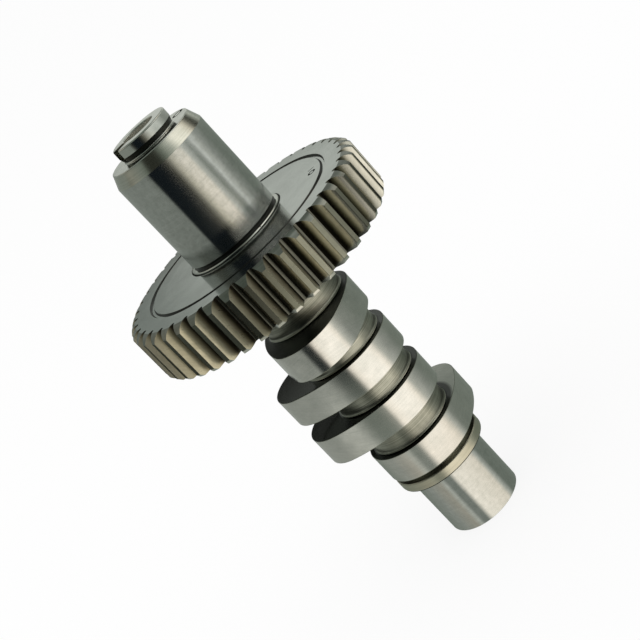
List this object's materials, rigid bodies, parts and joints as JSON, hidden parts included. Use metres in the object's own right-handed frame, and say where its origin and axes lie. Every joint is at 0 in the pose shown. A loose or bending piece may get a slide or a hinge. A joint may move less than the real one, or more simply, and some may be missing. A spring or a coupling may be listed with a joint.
{
  "type": "camshaft",
  "caption": "Steel camshaft with ground lobes and journals, a spur gear pressed on beside the large journal, and a slotted drive boss.",
  "frame": {"origin": "centre of the small end's face, which the shaft stands on", "axes": "+Z along the shaft's axis from the small end to the drive boss; +X to the right and +Y away from the viewer in the picture's view"},
  "size_m": [0.069, 0.0692, 0.129],
  "materials": {
    "ground_steel": "polished",
    "gear_steel": "satin",
    "key_steel": "satin"
  },
  "bodies": {
    "root": {"camshaft": "ground_steel", "cam_gear": "gear_steel", "gear_key": "key_steel"}
  },
  "joints": []
}
